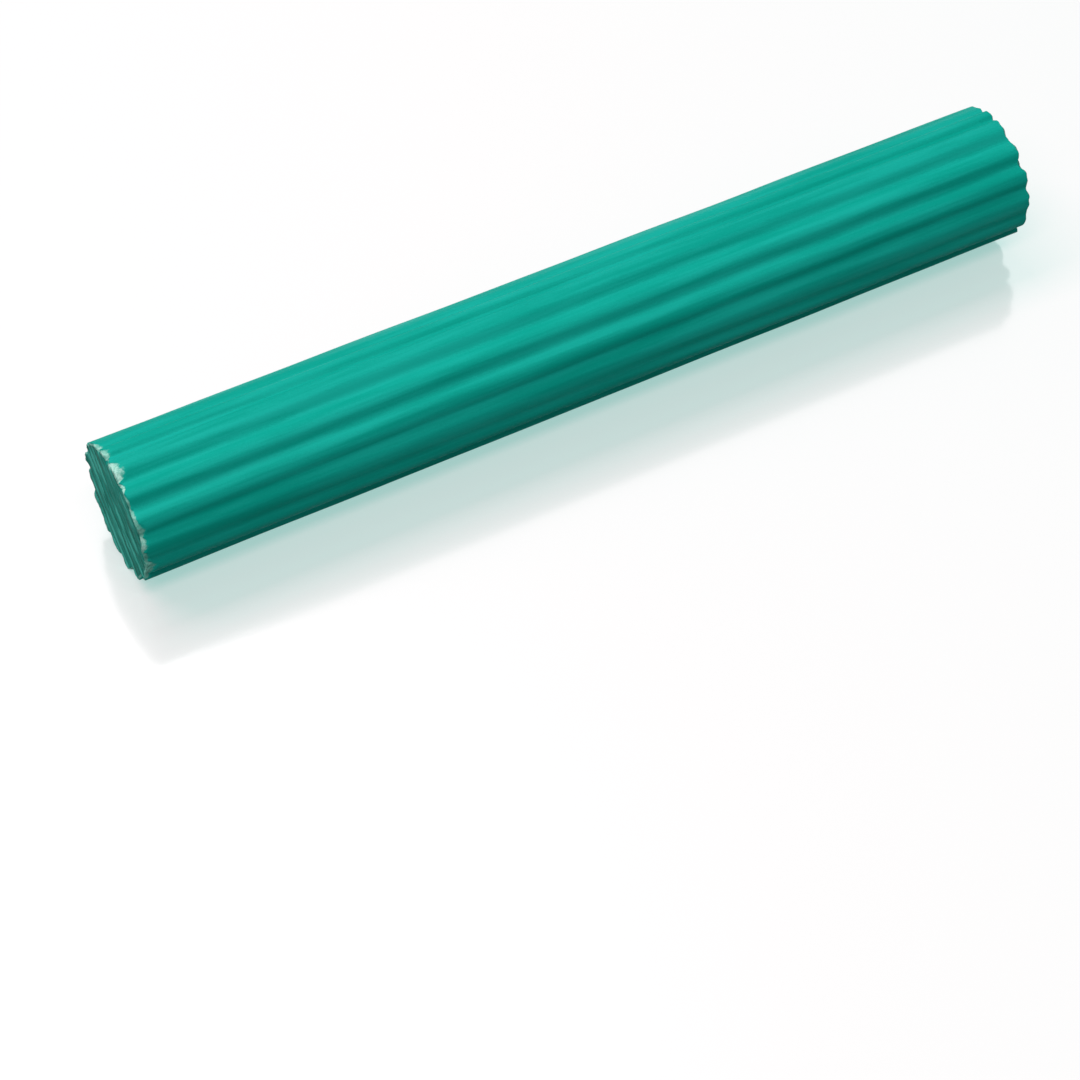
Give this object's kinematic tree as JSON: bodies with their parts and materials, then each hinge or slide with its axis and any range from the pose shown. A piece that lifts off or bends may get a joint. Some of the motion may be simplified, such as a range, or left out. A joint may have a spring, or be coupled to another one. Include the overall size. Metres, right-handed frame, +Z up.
{
  "type": "therapy resistance bar",
  "caption": "Solid ribbed rubber bar with plain cut ends, held in both hands to bend it into a U or wring it, and it springs back straight.",
  "frame": {"origin": "middle of the bar's length, under its axis, on the floor that two of its ribs stand on", "axes": "+X along the bar towards the right grip, +Z up from the floor, bending takes place in the XY plane"},
  "size_m": [0.305, 0.0426, 0.0426],
  "materials": {
    "moulded_rubber": "satin moulded teal-green rubber with fine grain and soft lengthwise ribs",
    "cut_rubber": "dull, darker green rubber where the bar is cut across, with parallel knife lines and a pale torn rim"
  },
  "bodies": {
    "centre_length": {"centre_length": "moulded_rubber"},
    "right_flex_01": {"right_flex_01": "moulded_rubber"},
    "right_length_01": {"right_length_01": "moulded_rubber"},
    "right_flex_02": {"right_flex_02": "moulded_rubber"},
    "right_length_02": {"right_length_02": "moulded_rubber"},
    "right_flex_03": {"right_flex_03": "moulded_rubber"},
    "right_length_03": {"right_length_03": "moulded_rubber"},
    "right_flex_04": {"right_flex_04": "moulded_rubber"},
    "right_length_04": {"right_length_04": "moulded_rubber"},
    "right_flex_05": {"right_flex_05": "moulded_rubber"},
    "right_length_05": {"right_length_05": "moulded_rubber"},
    "right_flex_06": {"right_flex_06": "moulded_rubber"},
    "right_length_06": {"right_length_06": "moulded_rubber"},
    "right_flex_07": {"right_flex_07": "moulded_rubber"},
    "right_length_07": {"right_length_07": "moulded_rubber"},
    "right_flex_08": {"right_flex_08": "moulded_rubber"},
    "right_length_08": {"right_length_08": "moulded_rubber"},
    "right_flex_09": {"right_flex_09": "moulded_rubber"},
    "right_length_09": {"right_length_09": "moulded_rubber"},
    "right_flex_10": {"right_flex_10": "moulded_rubber"},
    "right_grip": {"right_grip": "moulded_rubber"},
    "left_flex_01": {"left_flex_01": "moulded_rubber"},
    "left_length_01": {"left_length_01": "moulded_rubber"},
    "left_flex_02": {"left_flex_02": "moulded_rubber"},
    "left_length_02": {"left_length_02": "moulded_rubber"},
    "left_flex_03": {"left_flex_03": "moulded_rubber"},
    "left_length_03": {"left_length_03": "moulded_rubber"},
    "left_flex_04": {"left_flex_04": "moulded_rubber"},
    "left_length_04": {"left_length_04": "moulded_rubber"},
    "left_flex_05": {"left_flex_05": "moulded_rubber"},
    "left_length_05": {"left_length_05": "moulded_rubber"},
    "left_flex_06": {"left_flex_06": "moulded_rubber"},
    "left_length_06": {"left_length_06": "moulded_rubber"},
    "left_flex_07": {"left_flex_07": "moulded_rubber"},
    "left_length_07": {"left_length_07": "moulded_rubber"},
    "left_flex_08": {"left_flex_08": "moulded_rubber"},
    "left_length_08": {"left_length_08": "moulded_rubber"},
    "left_flex_09": {"left_flex_09": "moulded_rubber"},
    "left_length_09": {"left_length_09": "moulded_rubber"},
    "left_flex_10": {"left_flex_10": "moulded_rubber"},
    "left_grip": {"left_grip": "moulded_rubber"}
  },
  "joints": [
    {"name": "bend", "type": "hinge", "parent": "centre_length", "child": "right_flex_01", "pos_m": [0.00651, 0, 0.02131], "axis": [0.0005, 0, 1], "range_deg": [-9, 9], "stiffness_Nm_per_rad": 26.67, "deforming": ["right_flex_01"]},
    {"name": "twist", "type": "hinge", "parent": "right_flex_01", "child": "right_length_01", "pos_m": [0.01301, 0, 0.02131], "axis": [1, 0, 0.0005], "range_deg": [-4.5, 4.5], "stiffness_Nm_per_rad": 17.75},
    {"name": "right_bend_02", "type": "hinge", "parent": "right_length_01", "child": "right_flex_02", "pos_m": [0.01952, 0, 0.02131], "axis": [0.0005, 0, 1], "range_deg": [-9, 9], "stiffness_Nm_per_rad": 26.67, "deforming": ["right_flex_02"]},
    {"name": "right_twist_02", "type": "hinge", "parent": "right_flex_02", "child": "right_length_02", "pos_m": [0.02602, 0, 0.02131], "axis": [1, 0, 0.0005], "range_deg": [-4.5, 4.5], "stiffness_Nm_per_rad": 17.75},
    {"name": "right_bend_03", "type": "hinge", "parent": "right_length_02", "child": "right_flex_03", "pos_m": [0.03253, 0, 0.02131], "axis": [0.0005, 0, 1], "range_deg": [-9, 9], "stiffness_Nm_per_rad": 26.67, "deforming": ["right_flex_03"]},
    {"name": "right_twist_03", "type": "hinge", "parent": "right_flex_03", "child": "right_length_03", "pos_m": [0.03903, 0, 0.02131], "axis": [1, 0, 0.0005], "range_deg": [-4.5, 4.5], "stiffness_Nm_per_rad": 17.75},
    {"name": "right_bend_04", "type": "hinge", "parent": "right_length_03", "child": "right_flex_04", "pos_m": [0.04554, 0, 0.02131], "axis": [0.0005, 0, 1], "range_deg": [-9, 9], "stiffness_Nm_per_rad": 26.67, "deforming": ["right_flex_04"]},
    {"name": "right_twist_04", "type": "hinge", "parent": "right_flex_04", "child": "right_length_04", "pos_m": [0.05205, 0, 0.02131], "axis": [1, 0, 0.0005], "range_deg": [-4.5, 4.5], "stiffness_Nm_per_rad": 17.75},
    {"name": "right_bend_05", "type": "hinge", "parent": "right_length_04", "child": "right_flex_05", "pos_m": [0.05855, 0, 0.02131], "axis": [0.0005, 0, 1], "range_deg": [-9, 9], "stiffness_Nm_per_rad": 26.67, "deforming": ["right_flex_05"]},
    {"name": "right_twist_05", "type": "hinge", "parent": "right_flex_05", "child": "right_length_05", "pos_m": [0.06506, 0, 0.02131], "axis": [1, 0, 0.0005], "range_deg": [-4.5, 4.5], "stiffness_Nm_per_rad": 17.75},
    {"name": "right_bend_06", "type": "hinge", "parent": "right_length_05", "child": "right_flex_06", "pos_m": [0.07156, 0, 0.02131], "axis": [0.0005, 0, 1], "range_deg": [-9, 9], "stiffness_Nm_per_rad": 26.67, "deforming": ["right_flex_06"]},
    {"name": "right_twist_06", "type": "hinge", "parent": "right_flex_06", "child": "right_length_06", "pos_m": [0.07807, 0, 0.02131], "axis": [1, 0, 0.0005], "range_deg": [-4.5, 4.5], "stiffness_Nm_per_rad": 17.75},
    {"name": "right_bend_07", "type": "hinge", "parent": "right_length_06", "child": "right_flex_07", "pos_m": [0.08457, 0, 0.02131], "axis": [0.0005, 0, 1], "range_deg": [-9, 9], "stiffness_Nm_per_rad": 26.67, "deforming": ["right_flex_07"]},
    {"name": "right_twist_07", "type": "hinge", "parent": "right_flex_07", "child": "right_length_07", "pos_m": [0.09108, 0, 0.02131], "axis": [1, 0, 0.0005], "range_deg": [-4.5, 4.5], "stiffness_Nm_per_rad": 17.75},
    {"name": "right_bend_08", "type": "hinge", "parent": "right_length_07", "child": "right_flex_08", "pos_m": [0.09759, 0, 0.02131], "axis": [0.0005, 0, 1], "range_deg": [-9, 9], "stiffness_Nm_per_rad": 26.67, "deforming": ["right_flex_08"]},
    {"name": "right_twist_08", "type": "hinge", "parent": "right_flex_08", "child": "right_length_08", "pos_m": [0.10409, 0, 0.02131], "axis": [1, 0, 0.0005], "range_deg": [-4.5, 4.5], "stiffness_Nm_per_rad": 17.75},
    {"name": "right_bend_09", "type": "hinge", "parent": "right_length_08", "child": "right_flex_09", "pos_m": [0.1106, 0, 0.02131], "axis": [0.0005, 0, 1], "range_deg": [-9, 9], "stiffness_Nm_per_rad": 26.67, "deforming": ["right_flex_09"]},
    {"name": "right_twist_09", "type": "hinge", "parent": "right_flex_09", "child": "right_length_09", "pos_m": [0.1171, 0, 0.02131], "axis": [1, 0, 0.0005], "range_deg": [-4.5, 4.5], "stiffness_Nm_per_rad": 17.75},
    {"name": "right_bend_10", "type": "hinge", "parent": "right_length_09", "child": "right_flex_10", "pos_m": [0.12361, 0, 0.02131], "axis": [0.0005, 0, 1], "range_deg": [-9, 9], "stiffness_Nm_per_rad": 26.67, "deforming": ["right_flex_10"]},
    {"name": "right_twist_10", "type": "hinge", "parent": "right_flex_10", "child": "right_grip", "pos_m": [0.13011, 0, 0.02131], "axis": [1, 0, 0.0005], "range_deg": [-4.5, 4.5], "stiffness_Nm_per_rad": 17.75},
    {"name": "left_bend_01", "type": "hinge", "parent": "centre_length", "child": "left_flex_01", "pos_m": [-0.00651, 0, 0.02131], "axis": [-0.0005, 0, 1], "range_deg": [-9, 9], "stiffness_Nm_per_rad": 26.67, "deforming": ["left_flex_01"]},
    {"name": "left_twist_01", "type": "hinge", "parent": "left_flex_01", "child": "left_length_01", "pos_m": [-0.01301, 0, 0.02131], "axis": [1, 0, -0.0005], "range_deg": [-4.5, 4.5], "stiffness_Nm_per_rad": 17.75},
    {"name": "left_bend_02", "type": "hinge", "parent": "left_length_01", "child": "left_flex_02", "pos_m": [-0.01952, 0, 0.02131], "axis": [-0.0005, 0, 1], "range_deg": [-9, 9], "stiffness_Nm_per_rad": 26.67, "deforming": ["left_flex_02"]},
    {"name": "left_twist_02", "type": "hinge", "parent": "left_flex_02", "child": "left_length_02", "pos_m": [-0.02602, 0, 0.02131], "axis": [1, 0, -0.0005], "range_deg": [-4.5, 4.5], "stiffness_Nm_per_rad": 17.75},
    {"name": "left_bend_03", "type": "hinge", "parent": "left_length_02", "child": "left_flex_03", "pos_m": [-0.03253, 0, 0.02131], "axis": [-0.0005, 0, 1], "range_deg": [-9, 9], "stiffness_Nm_per_rad": 26.67, "deforming": ["left_flex_03"]},
    {"name": "left_twist_03", "type": "hinge", "parent": "left_flex_03", "child": "left_length_03", "pos_m": [-0.03903, 0, 0.02131], "axis": [1, 0, -0.0005], "range_deg": [-4.5, 4.5], "stiffness_Nm_per_rad": 17.75},
    {"name": "left_bend_04", "type": "hinge", "parent": "left_length_03", "child": "left_flex_04", "pos_m": [-0.04554, 0, 0.02131], "axis": [-0.0005, 0, 1], "range_deg": [-9, 9], "stiffness_Nm_per_rad": 26.67, "deforming": ["left_flex_04"]},
    {"name": "left_twist_04", "type": "hinge", "parent": "left_flex_04", "child": "left_length_04", "pos_m": [-0.05205, 0, 0.02131], "axis": [1, 0, -0.0005], "range_deg": [-4.5, 4.5], "stiffness_Nm_per_rad": 17.75},
    {"name": "left_bend_05", "type": "hinge", "parent": "left_length_04", "child": "left_flex_05", "pos_m": [-0.05855, 0, 0.02131], "axis": [-0.0005, 0, 1], "range_deg": [-9, 9], "stiffness_Nm_per_rad": 26.67, "deforming": ["left_flex_05"]},
    {"name": "left_twist_05", "type": "hinge", "parent": "left_flex_05", "child": "left_length_05", "pos_m": [-0.06506, 0, 0.02131], "axis": [1, 0, -0.0005], "range_deg": [-4.5, 4.5], "stiffness_Nm_per_rad": 17.75},
    {"name": "left_bend_06", "type": "hinge", "parent": "left_length_05", "child": "left_flex_06", "pos_m": [-0.07156, 0, 0.02131], "axis": [-0.0005, 0, 1], "range_deg": [-9, 9], "stiffness_Nm_per_rad": 26.67, "deforming": ["left_flex_06"]},
    {"name": "left_twist_06", "type": "hinge", "parent": "left_flex_06", "child": "left_length_06", "pos_m": [-0.07807, 0, 0.02131], "axis": [1, 0, -0.0005], "range_deg": [-4.5, 4.5], "stiffness_Nm_per_rad": 17.75},
    {"name": "left_bend_07", "type": "hinge", "parent": "left_length_06", "child": "left_flex_07", "pos_m": [-0.08457, 0, 0.02131], "axis": [-0.0005, 0, 1], "range_deg": [-9, 9], "stiffness_Nm_per_rad": 26.67, "deforming": ["left_flex_07"]},
    {"name": "left_twist_07", "type": "hinge", "parent": "left_flex_07", "child": "left_length_07", "pos_m": [-0.09108, 0, 0.02131], "axis": [1, 0, -0.0005], "range_deg": [-4.5, 4.5], "stiffness_Nm_per_rad": 17.75},
    {"name": "left_bend_08", "type": "hinge", "parent": "left_length_07", "child": "left_flex_08", "pos_m": [-0.09759, 0, 0.02131], "axis": [-0.0005, 0, 1], "range_deg": [-9, 9], "stiffness_Nm_per_rad": 26.67, "deforming": ["left_flex_08"]},
    {"name": "left_twist_08", "type": "hinge", "parent": "left_flex_08", "child": "left_length_08", "pos_m": [-0.10409, 0, 0.02131], "axis": [1, 0, -0.0005], "range_deg": [-4.5, 4.5], "stiffness_Nm_per_rad": 17.75},
    {"name": "left_bend_09", "type": "hinge", "parent": "left_length_08", "child": "left_flex_09", "pos_m": [-0.1106, 0, 0.02131], "axis": [-0.0005, 0, 1], "range_deg": [-9, 9], "stiffness_Nm_per_rad": 26.67, "deforming": ["left_flex_09"]},
    {"name": "left_twist_09", "type": "hinge", "parent": "left_flex_09", "child": "left_length_09", "pos_m": [-0.1171, 0, 0.02131], "axis": [1, 0, -0.0005], "range_deg": [-4.5, 4.5], "stiffness_Nm_per_rad": 17.75},
    {"name": "left_bend_10", "type": "hinge", "parent": "left_length_09", "child": "left_flex_10", "pos_m": [-0.12361, 0, 0.02131], "axis": [-0.0005, 0, 1], "range_deg": [-9, 9], "stiffness_Nm_per_rad": 26.67, "deforming": ["left_flex_10"]},
    {"name": "left_twist_10", "type": "hinge", "parent": "left_flex_10", "child": "left_grip", "pos_m": [-0.13011, 0, 0.02131], "axis": [1, 0, -0.0005], "range_deg": [-4.5, 4.5], "stiffness_Nm_per_rad": 17.75}
  ],
  "couplings": [
    {"joint": "right_bend_02", "follows": "bend", "ratio": 1},
    {"joint": "right_twist_02", "follows": "twist", "ratio": 1},
    {"joint": "right_bend_03", "follows": "bend", "ratio": 1},
    {"joint": "right_twist_03", "follows": "twist", "ratio": 1},
    {"joint": "right_bend_04", "follows": "bend", "ratio": 1},
    {"joint": "right_twist_04", "follows": "twist", "ratio": 1},
    {"joint": "right_bend_05", "follows": "bend", "ratio": 1},
    {"joint": "right_twist_05", "follows": "twist", "ratio": 1},
    {"joint": "right_bend_06", "follows": "bend", "ratio": 1},
    {"joint": "right_twist_06", "follows": "twist", "ratio": 1},
    {"joint": "right_bend_07", "follows": "bend", "ratio": 1},
    {"joint": "right_twist_07", "follows": "twist", "ratio": 1},
    {"joint": "right_bend_08", "follows": "bend", "ratio": 1},
    {"joint": "right_twist_08", "follows": "twist", "ratio": 1},
    {"joint": "right_bend_09", "follows": "bend", "ratio": 1},
    {"joint": "right_twist_09", "follows": "twist", "ratio": 1},
    {"joint": "right_bend_10", "follows": "bend", "ratio": 1},
    {"joint": "right_twist_10", "follows": "twist", "ratio": 1},
    {"joint": "left_bend_01", "follows": "bend", "ratio": -1},
    {"joint": "left_twist_01", "follows": "twist", "ratio": -1},
    {"joint": "left_bend_02", "follows": "bend", "ratio": -1},
    {"joint": "left_twist_02", "follows": "twist", "ratio": -1},
    {"joint": "left_bend_03", "follows": "bend", "ratio": -1},
    {"joint": "left_twist_03", "follows": "twist", "ratio": -1},
    {"joint": "left_bend_04", "follows": "bend", "ratio": -1},
    {"joint": "left_twist_04", "follows": "twist", "ratio": -1},
    {"joint": "left_bend_05", "follows": "bend", "ratio": -1},
    {"joint": "left_twist_05", "follows": "twist", "ratio": -1},
    {"joint": "left_bend_06", "follows": "bend", "ratio": -1},
    {"joint": "left_twist_06", "follows": "twist", "ratio": -1},
    {"joint": "left_bend_07", "follows": "bend", "ratio": -1},
    {"joint": "left_twist_07", "follows": "twist", "ratio": -1},
    {"joint": "left_bend_08", "follows": "bend", "ratio": -1},
    {"joint": "left_twist_08", "follows": "twist", "ratio": -1},
    {"joint": "left_bend_09", "follows": "bend", "ratio": -1},
    {"joint": "left_twist_09", "follows": "twist", "ratio": -1},
    {"joint": "left_bend_10", "follows": "bend", "ratio": -1},
    {"joint": "left_twist_10", "follows": "twist", "ratio": -1}
  ]
}
